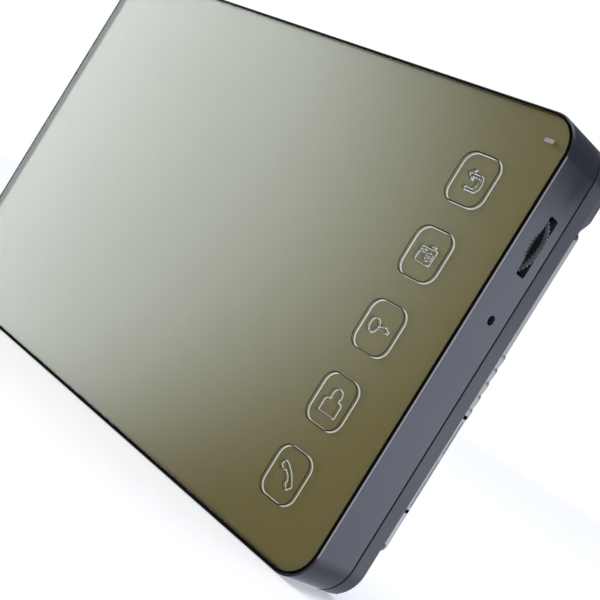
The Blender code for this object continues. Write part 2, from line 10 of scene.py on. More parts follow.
import bmesh
import bpy
from mathutils import Matrix, Vector


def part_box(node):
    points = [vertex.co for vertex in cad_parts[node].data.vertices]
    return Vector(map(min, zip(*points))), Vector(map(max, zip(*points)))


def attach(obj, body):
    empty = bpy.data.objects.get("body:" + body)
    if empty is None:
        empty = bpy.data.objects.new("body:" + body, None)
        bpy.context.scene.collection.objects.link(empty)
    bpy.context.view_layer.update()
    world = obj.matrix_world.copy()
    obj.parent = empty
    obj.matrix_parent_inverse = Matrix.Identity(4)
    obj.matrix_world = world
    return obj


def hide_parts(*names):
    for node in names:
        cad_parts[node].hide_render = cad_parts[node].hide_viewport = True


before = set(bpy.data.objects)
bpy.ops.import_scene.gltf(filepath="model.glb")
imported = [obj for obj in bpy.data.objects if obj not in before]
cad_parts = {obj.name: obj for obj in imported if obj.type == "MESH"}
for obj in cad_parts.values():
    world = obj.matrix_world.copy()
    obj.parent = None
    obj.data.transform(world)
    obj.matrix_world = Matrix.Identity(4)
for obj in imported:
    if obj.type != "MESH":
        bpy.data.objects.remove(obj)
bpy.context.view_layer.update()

MM = 0.001
TAU = 2.0 * math.pi


def box_mm(node):
    """Lowest and highest corner of a CAD node, in millimetres."""
    low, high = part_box(node)
    return low / MM, high / MM


def middle_of(low, high):
    """X and Z of a box's middle."""
    return (low.x + high.x) / 2, (low.z + high.z) / 2


SHELL_LOW, SHELL_HIGH = box_mm("front_shell")
REAR_HIGH = box_mm("rear_shell")[1]
WHEEL_LOW, WHEEL_HIGH = box_mm("volume_wheel")
PLATE_LOW, PLATE_HIGH = box_mm("wall_bracket")
LABEL_LOW, LABEL_HIGH = box_mm("rating_label")
LIGHT_LOW, LIGHT_HIGH = box_mm("status_light_pipe")
CONE_LOW, CONE_HIGH = box_mm("speaker_cone")

FRONT = SHELL_LOW.y
HALF_WIDTH = SHELL_HIGH.x
HALF_HEIGHT = SHELL_HIGH.z

# Housing
CORNER = 10.5
WALL = 2.2
CORNER_STEPS = 14
EDGE_SOFT = 0.7
PARTING_SOFT = 0.25
RECESS_INSET = 0.55
WEB_FRONT = 3.6
WEB_BACK = 5.1
SHELL_END = SHELL_HIGH.y - FRONT
REAR_START = SHELL_END + 0.5
BACK = 20.5
BACK_SOFT = 0.45
INNER_BACK = 18.5
LIP_START = 12.9
LIP_OUT = 2.5
LIP_IN = 4.0
BOSSES = ((-92.0, -60.2), (92.0, -60.2), (-92.0, 60.2), (92.0, 60.2))
POSTS = ((-58.0, -45.0), (74.0, -45.0), (-58.0, 45.0), (74.0, 45.0))
BOSS_RADIUS = 3.2
POST_RADIUS = 2.6
DISPLAY_WINDOW = ((-13.0, 0.0), (166.6, 101.6))
KEY_WINDOW_X = (81.4, 93.4)
LIGHT_WINDOW = (3.6, 1.7)
LABEL_RECESS = ((-31.0, 51.0), (31.0, 63.0))
SOCKET_OPENING = ((0.0, -26.0), (66.0, 9.0))
GRILLE_RADIUS = 12.0
GRILLE_PITCH = 3.4
GRILLE_SLOT = 1.6

# Feet on the back
FOOT_BACK = REAR_HIGH.y - FRONT
FOOT_INNER_X = 94.0
FOOT_TOP_Z = 46.3
FOOT_LOW_Z = -59.4
FOOT_RAMP = 5.4
LOW_FOOT_INSET = 6.0

# Side controls
SLOT_DEPTHS = (6.9, 10.7)
SLOT_HEIGHT = 16.9
WHEEL_AXIS = middle_of(WHEEL_LOW, WHEEL_HIGH)
WHEEL_RADIUS = (WHEEL_HIGH.x - WHEEL_LOW.x) / 2
TEETH = 64
MICROPHONE = (8.6, 14.5)
MICROPHONE_HOLE = 1.25

# Mirror panel and its touch keys
PANEL_SIDE_GAPS = (1.0, 1.6)
PANEL_END_GAPS = (1.15, 0.95)
PANEL_CORNER = 9.3
GLASS_DEPTHS = (0.02, 1.22)
COATING_DEPTHS = (1.31, 2.5)
BRIGHT_DEPTHS = (1.24, 1.29)
DARK_DEPTHS = (0.0, 0.019)
KEY_X = 86.9
KEY_LEAN = -0.31
KEY_TOP_Z = 44.0
KEY_PITCH = 22.8
KEY_FRAME = (13.2, 14.7)
KEY_CORNER = 3.8
BRIGHT_LINE = 0.42
DARK_LINE = 0.34
BRIGHT_SIGN = 0.3
DARK_SIGN = 0.19

# Wall bracket
SHEET = 1.0
FLANGE_X = PLATE_HIGH.x + 0.25
FLANGE_FREE = -3.4
FLANGE_END = -1.8
PLATE_CORNER = 3.0
BEND = 0.2
HOOK_X = 55.0
HOOK_TOPS = (34.0, -30.0)
HOOK_OPENING = (5.4, 8.7)
CABLE_OPENING = ((-36.0, -40.0), (36.0, -14.0))
BEAD_START_Z = -8.6
BEAD_PITCH = 4.1
BEAD_REACH = 0.36
NOTCHES_Z = (-9.7, -38.6)
GROOVES_Z = ((-37.2, -23.0), (-21.0, -11.0))
SCREW_SLOTS = ((-85.0, 27.0), (85.0, 27.0), (-85.0, -34.5), (85.0, -34.5), (-30.0, 21.0), (30.0, 21.0))


# ---------------------------------------------------------------- outlines

def arc(centre, radius, start, stop, steps):
    """Points on an arc, angles in degrees."""
    turns = [math.radians(start + (stop - start) * index / steps) for index in range(steps + 1)]
    return [(centre[0] + radius * math.cos(turn), centre[1] + radius * math.sin(turn)) for turn in turns]


def circle(centre, radius, sides=32):
    return arc(centre, radius, 0.0, 360.0, sides)[:-1]


def rounded(low, high, radius, steps=5):
    """Rectangle with round corners."""
    points = arc((high[0] - radius, high[1] - radius), radius, 0, 90, steps)
    points += arc((low[0] + radius, high[1] - radius), radius, 90, 180, steps)
    points += arc((low[0] + radius, low[1] + radius), radius, 180, 270, steps)
    points += arc((high[0] - radius, low[1] + radius), radius, 270, 360, steps)
    return points


def block(centre, size, radius=0.3, steps=3):
    """Rounded rectangle of a size about a centre."""
    low = (centre[0] - size[0] / 2, centre[1] - size[1] / 2)
    high = (centre[0] + size[0] / 2, centre[1] + size[1] / 2)
    return rounded(low, high, radius, steps)


def slot(centre, length, width, upright=False):
    """Slot with round ends."""
    reach = (length - width) / 2
    points = arc((reach, 0), width / 2, -90, 90, 8) + arc((-reach, 0), width / 2, 90, 270, 8)
    if upright:
        points = [(v, -u) for u, v in points]
    return [(centre[0] + u, centre[1] + v) for u, v in points]


def soften(points, radius):
    """Round a polygon's corners."""
    made = []
    count = len(points)
    for index, (x, z) in enumerate(points):
        before = Vector(points[index - 1])
        here = Vector((x, z))
        after = Vector(points[(index + 1) % count])
        first = here + (before - here).normalized() * min(radius, (before - here).length * 0.4)
        last = here + (after - here).normalized() * min(radius, (after - here).length * 0.4)
        for step in range(4):
            share = step / 3
            near = first.lerp(here, share)
            far = here.lerp(last, share)
            made.append(tuple(near.lerp(far, share)))
    return made


def shifted(points, offset, scale=1.0):
    return [(offset[0] + x * scale, offset[1] + z * scale) for x, z in points]


# ---------------------------------------------------------------- rows of points

def flat(outline, depth):
    """Outline seen from the front, laid at a depth."""
    return [Vector((x, FRONT + depth, z)) for x, z in outline]


def at_y(outline, y):
    return [Vector((x, y, z)) for x, z in outline]


def across(outline, x):
    """Outline seen from the right, its first coordinate a depth and its second Z."""
    return [Vector((x, FRONT + depth, z)) for depth, z in outline]


def housing(inset, depth):
    """The housing's rounded outline, moved in by an inset."""
    half = (HALF_WIDTH - inset, HALF_HEIGHT - inset)
    return flat(rounded((-half[0], -half[1]), half, max(CORNER - inset, 1.0), CORNER_STEPS), depth)


def mirror(inset, depth):
    """The mirror panel's rounded outline, moved in by an inset."""
    low = (-HALF_WIDTH + PANEL_SIDE_GAPS[0] + inset, -HALF_HEIGHT + PANEL_END_GAPS[0] + inset)
    high = (HALF_WIDTH - PANEL_SIDE_GAPS[1] - inset, HALF_HEIGHT - PANEL_END_GAPS[1] - inset)
    return flat(rounded(low, high, PANEL_CORNER - inset, CORNER_STEPS), depth)


def quarter(inset, depth, radius, facing, steps=4):
    """Profile points of a rounded edge, from the side wall to the face.

    The side wall has the given inset and the face the given depth; facing is -1 where the
    face looks forwards and 1 where it looks back.
    """
    points = []
    for index in range(steps + 1):
        turn = math.radians(90.0 * index / steps)
        rise = radius * (1 - math.sin(turn))
        points.append((inset + radius * (1 - math.cos(turn)), depth - facing * rise))
    return points


# ---------------------------------------------------------------- solids

def loft(mesh, rows, closed=False):
    """Skin equal rows of points; the end rows are filled unless the skin closes on itself."""
    made = [[mesh.verts.new(point) for point in row] for row in rows]
    pairs = list(zip(made, made[1:]))
    if closed:
        pairs.append((made[-1], made[0]))
    count = len(made[0])
    for near, far in pairs:
        for index in range(count):
            follow = (index + 1) % count
            mesh.faces.new((near[index], near[follow], far[follow], far[index]))
    if not closed:
        mesh.faces.new(made[0])
        mesh.faces.new(made[-1])


def mesh_of(name, lofts):
    """Mesh data, in metres, from a list of rows to skin."""
    mesh = bmesh.new()
    for rows in lofts:
        loft(mesh, rows[0] if isinstance(rows, tuple) else rows, isinstance(rows, tuple))
    bmesh.ops.recalc_face_normals(mesh, faces=mesh.faces)
    bmesh.ops.scale(mesh, vec=(MM, MM, MM), verts=mesh.verts)
    data = bpy.data.meshes.new(name)
    mesh.to_mesh(data)
    mesh.free()
    return data


def ring(rows):
    """Marks rows whose last joins their first, as in a tube."""
    return (rows,)


def solid(name, lofts):
    item = bpy.data.objects.new(name, mesh_of(name, lofts))
    bpy.context.scene.collection.objects.link(item)
    return item


def settle(item):
    """Replace an object's mesh by what its modifiers make of it."""
    graph = bpy.context.evaluated_depsgraph_get()
    made = bpy.data.meshes.new_from_object(item.evaluated_get(graph))
    item.modifiers.clear()
    item.data = made


def change(item, operation, lofts):
    """Cut solids from an object, or join them to it."""
    tool = solid("tool", lofts)
    step = item.modifiers.new("step", "BOOLEAN")
    step.operation = operation
    step.solver = "EXACT"
    step.object = tool
    settle(item)
    bpy.data.objects.remove(tool, do_unlink=True)


def piece(item, shader, body, stands_for=(), angle=32.0):
    """Shade a finished solid, let it ride on a CAD body and hide the CAD nodes that it stands for."""
    item.data.materials.clear()
    item.data.materials.append(shader)
    item.data.shade_smooth()
    item.data.set_sharp_from_angle(angle=math.radians(angle))
    weigh = item.modifiers.new("weighted_normals", "WEIGHTED_NORMAL")
    weigh.keep_sharp = True
    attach(item, body)
    if stands_for:
        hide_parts(*stands_for)
    return item


def lathe(profile, centre, sides=32, lumps=None):
    """Rows round an axis along Y, from (radius, depth) pairs."""
    rows = []
    for radius, depth in profile:
        row = []
        for index in range(sides):
            turn = TAU * index / sides
            reach = radius + (lumps(index, radius) if lumps else 0.0)
            place = (centre[0] + reach * math.cos(turn), centre[1] + reach * math.sin(turn))
            row.append(Vector((place[0], FRONT + depth, place[1])))
        rows.append(row)
    return rows


def line(points, width, depths, crown=0.0):
    """Rows of a closed raised line that follows a polygon, seen from the front."""
    count = len(points)
    left = []
    right = []
    for index in range(count):
        here = Vector(points[index])
        back = (here - Vector(points[index - 1])).normalized()
        ahead = (Vector(points[(index + 1) % count]) - here).normalized()
        along = (back + ahead).normalized()
        side = Vector((-along.y, along.x))
        spread = width / 2 / max(0.45, side.dot(Vector((-back.y, back.x))))
        left.append(tuple(here + side * spread))
        right.append(tuple(here - side * spread))
    rows = [flat(left, depths[1]), flat(left, depths[0] + crown)]
    if crown:
        rows.append(flat(points, depths[0]))
    rows += [flat(right, depths[0] + crown), flat(right, depths[1])]
    return ring(rows)


# ---------------------------------------------------------------- shader nodes

class Nodes:
    """A material's node tree, with short calls for the nodes used here."""

    def __init__(self, name):
        self.shader = bpy.data.materials.new(name)
        self.shader.use_nodes = True
        self.tree = self.shader.node_tree
        self.surface = self.tree.nodes["Principled BSDF"]
        self.coordinates = self.tree.nodes.new("ShaderNodeTexCoord").outputs["Object"]

    def link(self, source, target):
        self.tree.links.new(source, target)

    def node(self, kind, **inputs):
        made = self.tree.nodes.new(kind)
        for name, value in inputs.items():
            self.feed(made.inputs[name.replace("_", " ")], value)
        return made

    def feed(self, socket, value):
        if isinstance(value, bpy.types.NodeSocket):
            self.link(value, socket)
        else:
            socket.default_value = value

    def noise(self, scale, detail=3.0, rough=0.5, stretch=None):
        place = self.coordinates
        if stretch:
            place = self.node("ShaderNodeMapping", Vector=place, Scale=stretch).outputs["Vector"]
        return self.node("ShaderNodeTexNoise", Vector=place, Scale=scale, Detail=detail,
                         Roughness=rough).outputs["Fac"]

    def remap(self, value, low, high, out_low, out_high):
        made = self.node("ShaderNodeMapRange")
        made.interpolation_type = "SMOOTHSTEP"
        for socket, number in zip(made.inputs, (value, low, high, out_low, out_high)):
            self.feed(socket, number)
        return made.outputs["Result"]

    def maths(self, operation, first, second=0.0):
        made = self.tree.nodes.new("ShaderNodeMath")
        made.operation = operation
        self.feed(made.inputs[0], first)
        self.feed(made.inputs[1], second)
        return made.outputs["Value"]

    def blend(self, first, first_share, second, second_share):
        """Sum of two values, each times its share."""
        return self.maths("ADD", self.maths("MULTIPLY", first, first_share),
                          self.maths("MULTIPLY", second, second_share))

    def mix(self, share, first, second):
        made = self.tree.nodes.new("ShaderNodeMix")
        made.data_type = "RGBA"
        self.feed(made.inputs[0], share)
        self.feed(made.inputs[6], first)
        self.feed(made.inputs[7], second)
        return made.outputs[2]

    def axis(self, name):
        return self.node("ShaderNodeSeparateXYZ", Vector=self.coordinates).outputs[name]

    def bump(self, height, strength, distance):
        made = self.node("ShaderNodeBump", Strength=strength, Distance=distance, Height=height)
        self.link(made.outputs["Normal"], self.surface.inputs["Normal"])

    def set(self, **inputs):
        for name, value in inputs.items():
            self.feed(self.surface.inputs[name.replace("_", " ")], value)


def tone(red, green, blue):
    return (red, green, blue, 1.0)


def plastic(name, dark, light, roughness, grain=0.0, dust=0.0):
    """Moulded plastic: uneven gloss, fine grain and a little dust."""
    nodes = Nodes(name)
    broad = nodes.noise(22.0, 4.0, 0.55)
    fine = nodes.noise(900.0, 2.0)
    streaks = nodes.noise(60.0, 3.0, 0.5, (1.0, 5.0, 0.6))
    colour = nodes.mix(nodes.remap(broad, 0.3, 0.7, 0.0, 1.0), tone(*dark), tone(*light))
    rough = nodes.remap(nodes.blend(broad, 0.6, streaks, 0.4), 0.32, 0.68, *roughness)
    if dust:
        cells = nodes.node("ShaderNodeTexVoronoi", Vector=nodes.coordinates, Scale=dust, Randomness=1.0)
        near = nodes.remap(cells.outputs["Distance"], 0.035, 0.07, 1.0, 0.0)
        pick = nodes.node("ShaderNodeSeparateColor", Color=cells.outputs["Color"]).outputs["Red"]
        speck = nodes.maths("MULTIPLY", near, nodes.remap(pick, 0.8, 0.84, 0.0, 1.0))
        colour = nodes.mix(nodes.maths("MULTIPLY", speck, 0.5), colour, tone(0.62, 0.63, 0.66))
        rough = nodes.maths("ADD", rough, nodes.maths("MULTIPLY", speck, 0.3))
    nodes.set(Base_Color=colour, Roughness=rough)
    nodes.bump(nodes.maths("ADD", fine, nodes.maths("MULTIPLY", broad, 0.4)), 0.06 + grain,
               0.00004 + grain * 0.0004)
    return nodes.shader


def metal(name, dark, light, roughness, stretch=(1.0, 1.0, 1.0), scale=220.0, depth=0.1):
    """Bare or plated metal with brushed or mottled variation."""
    nodes = Nodes(name)
    brushed = nodes.noise(scale, 3.0, 0.6, stretch)
    cloud = nodes.noise(35.0, 3.0, 0.6)
    share = nodes.remap(nodes.blend(brushed, 0.5, cloud, 0.5), 0.35, 0.65, 0.0, 1.0)
    nodes.set(Base_Color=nodes.mix(share, tone(*dark), tone(*light)), Metallic=1.0,
              Roughness=nodes.remap(brushed, 0.3, 0.7, *roughness))
    nodes.bump(brushed, depth, 0.00005)
    return nodes.shader


def matter_nodes(name, dark, light, roughness, scale=150.0, depth=0.2, coat=0.0, specular=0.5):
    """Plain dull matter, such as foam, rubber, paper or film, mottled at one scale."""
    nodes = Nodes(name)
    grain = nodes.noise(scale, 5.0, 0.65)
    cloud = nodes.noise(scale / 8, 3.0)
    share = nodes.remap(nodes.blend(grain, 0.6, cloud, 0.4), 0.35, 0.65, 0.0, 1.0)
    nodes.set(Base_Color=nodes.mix(share, tone(*dark), tone(*light)),
              Roughness=nodes.remap(grain, 0.3, 0.7, *roughness), Coat_Weight=coat,
              Specular_IOR_Level=specular)
    nodes.bump(grain, depth, 0.0001)
    return nodes


def matter(*values, **named):
    return matter_nodes(*values, **named).shader


def by_slot(*shaders):
    """Materials by the CAD slot that each one stands for."""
    return {shader.name.split(".")[0]: shader for shader in shaders}


def glass_look():
    """Clear face: nothing but its gloss, stronger at a glancing view and slightly uneven."""
    nodes = Nodes("clear_face")
    smear = nodes.noise(9.0, 1.0, 0.5)
    glance = nodes.node("ShaderNodeLayerWeight", Blend=0.5).outputs["Facing"]
    gloss = nodes.maths("ADD", nodes.maths("MULTIPLY", nodes.maths("POWER", glance, 4.0), 0.9), 0.025)
    nodes.set(Base_Color=nodes.mix(nodes.remap(smear, 0.3, 0.7, 0.0, 1.0), tone(1.0, 1.0, 1.0),
                                   tone(0.985, 0.99, 0.985)),
              Roughness=nodes.remap(smear, 0.3, 0.7, 0.06, 0.09), Metallic=1.0, Alpha=gloss)
    return nodes.shader


def coating_look():
    """Bronze half-mirror layer on the back of the face, warmer towards the lower right; its paler upper
    left is a painted reflection of the bright window.
    """
    nodes = Nodes("bronze_coating")
    cloud = nodes.noise(9.0, 3.0, 0.5)
    # Painted reflection: the tint turns paler towards the upper left, where the window is reflected
    painted_reflection_fade = nodes.remap(nodes.maths("SUBTRACT", nodes.axis("X"), nodes.axis("Z")), -0.05, 0.14, 0.0, 1.0)
    tint = nodes.mix(painted_reflection_fade, *COATING_PAINTED_REFLECTION_TINTS)
    tint = nodes.mix(nodes.remap(cloud, 0.3, 0.7, 0.0, 0.1), tint, tone(0.2, 0.17, 0.09))
    nodes.set(Base_Color=tint, Metallic=0.35, Roughness=nodes.remap(cloud, 0.3, 0.7, 0.5, 0.53))
    return nodes.shader


def board_look():
    """Green circuit board: copper runs under the solder mask, with tinned pads."""
    nodes = Nodes("board_green")
    flat_place = nodes.node("ShaderNodeMapping", Vector=nodes.coordinates,
                            Rotation=(math.radians(90.0), 0.0, 0.0))
    runs = nodes.node("ShaderNodeTexBrick", Vector=flat_place.outputs["Vector"], Scale=120.0,
                      Mortar_Size=0.05)
    runs.offset = 0.37
    pads = nodes.node("ShaderNodeTexVoronoi", Vector=nodes.coordinates, Scale=240.0, Randomness=0.4)
    pad = nodes.remap(pads.outputs["Distance"], 0.16, 0.2, 1.0, 0.0)
    mask = nodes.mix(runs.outputs["Fac"], tone(0.012, 0.1, 0.045), tone(0.03, 0.2, 0.08))
    nodes.set(Base_Color=nodes.mix(pad, mask, tone(0.55, 0.54, 0.5)),
              Metallic=nodes.maths("MULTIPLY", pad, 0.9),
              Roughness=nodes.remap(nodes.noise(80.0), 0.3, 0.7, 0.28, 0.42))
    nodes.bump(runs.outputs["Fac"], 0.2, 0.00005)
    return nodes.shader


def label_look():
    """Silver-white label with a plain border and blank ruled rows."""
    nodes = matter_nodes("label_paper", (0.62, 0.63, 0.63), (0.7, 0.7, 0.7), (0.38, 0.5), 300.0, 0.05)
    half_pitch = 0.0013
    half_height = 0.004
    half_width = 0.0275
    sharp = 0.0001
    centre_z = (LABEL_LOW.z + LABEL_HIGH.z) / 2 * MM
    height = nodes.maths("SUBTRACT", nodes.axis("Z"), centre_z)
    rows = nodes.maths("PINGPONG", nodes.maths("ADD", height, 0.02), half_pitch)
    ruled = nodes.remap(rows, 0.00012, 0.0002, 1.0, 0.0)
    inside = nodes.remap(nodes.maths("ABSOLUTE", height), half_height, half_height + sharp, 1.0, 0.0)
    inside = nodes.maths("MULTIPLY", inside,
                         nodes.remap(nodes.maths("ABSOLUTE", nodes.axis("X")), half_width,
                                     half_width + sharp, 1.0, 0.0))
    ground = nodes.surface.inputs["Base Color"].links[0].from_socket
    nodes.set(Base_Color=nodes.mix(nodes.maths("MULTIPLY", ruled, inside), ground, tone(0.16, 0.16, 0.17)))
    return nodes.shader


def floor_look():
    nodes = Nodes("pale_floor")
    cloud = nodes.noise(3.0, 4.0)
    nodes.set(Base_Color=nodes.mix(nodes.remap(cloud, 0.3, 0.7, 0.0, 1.0), tone(0.9, 0.905, 0.92),
                                   tone(0.93, 0.935, 0.945)),
              Roughness=nodes.remap(cloud, 0.3, 0.7, 0.75, 0.9), Emission_Color=tone(0.97, 0.985, 1.0),
              Emission_Strength=0.4)
    return nodes.shader


# Coating tints: the first is the bronze painted paler as a painted reflection of the window, the second the
# deeper bronze
COATING_PAINTED_REFLECTION_TINTS = (tone(0.175, 0.16, 0.066), tone(0.16, 0.13, 0.026))
GLOSS = plastic("gloss_black", (0.010, 0.0108, 0.0135), (0.014, 0.015, 0.0185), (0.1, 0.2), 0.0, 230.0)
SATIN = plastic("satin_black", (0.024, 0.025, 0.0285), (0.033, 0.0345, 0.0385), (0.34, 0.46), 0.08, 200.0)
WHEEL_BLACK = plastic("wheel_black", (0.03, 0.031, 0.034), (0.045, 0.046, 0.05), (0.28, 0.4), 0.1)
CLEAR_FACE = glass_look()
COATING = coating_look()
BRIGHT_PRINT = matter("silver_print", (0.66, 0.74, 0.71), (0.8, 0.88, 0.85), (0.3, 0.42), 900.0, 0.02)
# Near-black matte for the keys' dark lines on the front surface, over the bright lines behind the glass,
# and for the panel's edge band, where it is painted shade in the gap
DARK_LINE_AND_EDGE_SHADE = matter("dark_line_and_edge_shade", (0.018, 0.014, 0.006), (0.032, 0.025, 0.011), (0.9, 1.0), 900.0, 0.02,
                    specular=0.0)
# Near-black dull matte for the wheel slot's inner walls: painted shade inside the slot
SLOT_WALL_PAINTED_SHADE = matter("slot_wall_painted_shade", (0.004, 0.004, 0.005), (0.009, 0.009, 0.01), (0.9, 1.0), 900.0, 0.02,
                      specular=0.1)
STATUS = matter("status_lens", (0.33, 0.29, 0.305), (0.38, 0.335, 0.35), (0.8, 0.95), 900.0, 0.02,
                specular=0.1)
ZINC = metal("zinc_plate", (0.28, 0.28, 0.255), (0.35, 0.35, 0.32), (0.34, 0.5), (1.0, 1.0, 0.12), 160.0,
             0.06)
LOOKS = by_slot(
    matter("foam_tape", (0.02, 0.02, 0.02), (0.045, 0.045, 0.045), (0.8, 0.95), 900.0, 0.5),
    plastic("display_glass", (0.012, 0.012, 0.018), (0.02, 0.02, 0.028), (0.05, 0.12)),
    matter("clear_acrylic", (0.74, 0.77, 0.8), (0.86, 0.88, 0.9), (0.1, 0.2), 500.0, 0.05),
    metal("bright_steel", (0.5, 0.5, 0.51), (0.66, 0.66, 0.67), (0.24, 0.38)),
    ZINC,
    metal("aluminium", (0.7, 0.7, 0.71), (0.82, 0.82, 0.83), (0.22, 0.36), (1.0, 6.0, 1.0)),
    board_look(),
    matter("chip_black", (0.014, 0.014, 0.015), (0.028, 0.028, 0.03), (0.45, 0.6), 800.0, 0.25),
    matter("socket_white", (0.72, 0.69, 0.6), (0.82, 0.8, 0.72), (0.35, 0.5), 120.0, 0.06),
    label_look(),
    matter("ribbon_film", (0.42, 0.22, 0.04), (0.6, 0.36, 0.08), (0.25, 0.4), 400.0, 0.05, 0.4),
    matter("cone_paper", (0.03, 0.03, 0.032), (0.06, 0.06, 0.064), (0.75, 0.9), 700.0, 0.5),
    matter("foam", (0.006, 0.006, 0.006), (0.016, 0.016, 0.016), (0.85, 1.0), 1500.0, 0.6, specular=0.2),
    matter("rubber", (0.014, 0.014, 0.014), (0.026, 0.026, 0.026), (0.6, 0.8), 600.0, 0.2),
    GLOSS,
    SATIN,
)


# ---------------------------------------------------------------- housing

def front_frame():
    """Glossy tray: outer wall, rounded front edge, recess for the mirror, and the cavity behind."""
    profile = [(RECESS_INSET, WEB_FRONT), (RECESS_INSET, 0.08)]
    profile += list(reversed(quarter(0.0, 0.0, EDGE_SOFT, -1, 8)))[1:]
    profile += [(0.0, 5.0), (0.0, 12.0)]
    profile += quarter(0.0, SHELL_END, PARTING_SOFT, 1, 3)
    profile += [(WALL, SHELL_END), (WALL, WEB_BACK)]
    shell = solid("front_frame", [[housing(inset, depth) for inset, depth in profile]])

    through = (WEB_FRONT - 1.0, WEB_BACK + 1.0)
    keys_low = KEY_TOP_Z - 4 * KEY_PITCH
    windows = [block(*DISPLAY_WINDOW, 1.0),
               rounded((KEY_WINDOW_X[0], keys_low - 6.0), (KEY_WINDOW_X[1], KEY_TOP_Z + 6.0), 1.0),
               block(middle_of(LIGHT_LOW, LIGHT_HIGH), LIGHT_WINDOW, 0.3)]
    change(shell, "DIFFERENCE", [[flat(outline, depth) for depth in through] for outline in windows])
    boss_depths = (WEB_BACK - 0.4, SHELL_END - 0.05)
    change(shell, "UNION",
           [[flat(circle(spot, BOSS_RADIUS, 28), depth) for depth in boss_depths] for spot in BOSSES])
    change(shell, "DIFFERENCE", [[flat(circle(spot, 1.6, 20), depth) for depth in (7.5, SHELL_END + 1.0)]
                                 for spot in BOSSES])

    middle = ((SLOT_DEPTHS[0] + SLOT_DEPTHS[1]) / 2, WHEEL_AXIS[1])
    size = (SLOT_DEPTHS[1] - SLOT_DEPTHS[0], SLOT_HEIGHT)
    flare = 0.06
    mouth = [(size, 0.7, HALF_WIDTH - 4.2), (size, 0.7, HALF_WIDTH - 0.1),
             ((size[0] + flare, size[1] + flare), 0.73, HALF_WIDTH - 0.02),
             ((size[0] + 2 * flare, size[1] + 2 * flare), 0.76, HALF_WIDTH + 0.2)]
    change(shell, "DIFFERENCE",
           [[across(block(middle, extent, radius, 5), x) for extent, radius, x in mouth]])
    relief = (size[0], size[1] + 2.4)
    change(shell, "DIFFERENCE",
           [[across(block(middle, relief, 0.3), x) for x in (HALF_WIDTH - 4.0, HALF_WIDTH - 1.0)]])
    hole = [(MICROPHONE_HOLE, HALF_WIDTH - 4.2), (MICROPHONE_HOLE, HALF_WIDTH - 0.25),
            (MICROPHONE_HOLE + 0.08, HALF_WIDTH - 0.08), (MICROPHONE_HOLE + 0.3, HALF_WIDTH + 0.2)]
    change(shell, "DIFFERENCE", [[across(circle(MICROPHONE, radius, 40), x) for radius, x in hole]])
    piece(shell, GLOSS, "housing", ["front_shell"])
    shell.data.materials.append(SLOT_WALL_PAINTED_SHADE)
    # The wheel slot's inner walls take the near-black matte: painted shade inside the slot
    for face in shell.data.polygons:
        depth = face.center.y / MM - FRONT
        in_wall = HALF_WIDTH - 4.5 < face.center.x / MM < HALF_WIDTH - 0.05
        if in_wall and SLOT_DEPTHS[0] - 1.0 < depth < SLOT_DEPTHS[1] + 1.0 and abs(face.normal.x) < 0.5:
            face.material_index = 1
    return shell


def foot_rows(side, end):
    """One corner foot, lofted along Z from its inner end, with a ramped inner end."""
    start = FOOT_TOP_Z if end > 0 else FOOT_LOW_Z
    ramp = FOOT_RAMP
    sunk = BACK - 0.7
    rows = []
    stations = []
    for index in range(9):
        share = index / 8
        rise = share * share * (3 - 2 * share)
        stations.append((start + end * ramp * (share - 0.15), 0.04 + rise * (FOOT_BACK - BACK - 0.04)))
    last = HALF_HEIGHT - (0.35 if end > 0 else 1.6)
    for index in range(1, 15):
        share = index / 14
        stations.append((end * (abs(stations[8][0]) * (1 - share) + last * share), FOOT_BACK - BACK))
    stations.append((end * (last + 0.29), FOOT_BACK - BACK - 0.35))
    for z, rise in stations:
        over = max(0.0, abs(z) - (HALF_HEIGHT - CORNER))
        outer = HALF_WIDTH - 0.03 - (CORNER - math.sqrt(max(CORNER * CORNER - over * over, 0.0)))
        if end < 0:
            outer = min(outer, HALF_WIDTH - LOW_FOOT_INSET)
        inner = FOOT_INNER_X
        top = BACK + rise
        soft = min(0.4, rise * 0.8)
        section = [(outer, sunk), (outer, top - soft)]
        bends = [(soft * (1 - math.cos(turn)), top - soft * (1 - math.sin(turn)))
                 for turn in (math.radians(30), math.radians(60), math.radians(90))]
        section += [(outer - back, depth) for back, depth in bends]
        section += [(inner + back, depth) for back, depth in reversed(bends)]
        section += [(inner, top - soft), (inner, sunk)]
        rows.append([Vector((side * x, FRONT + depth, z)) for x, depth in section])
    return rows


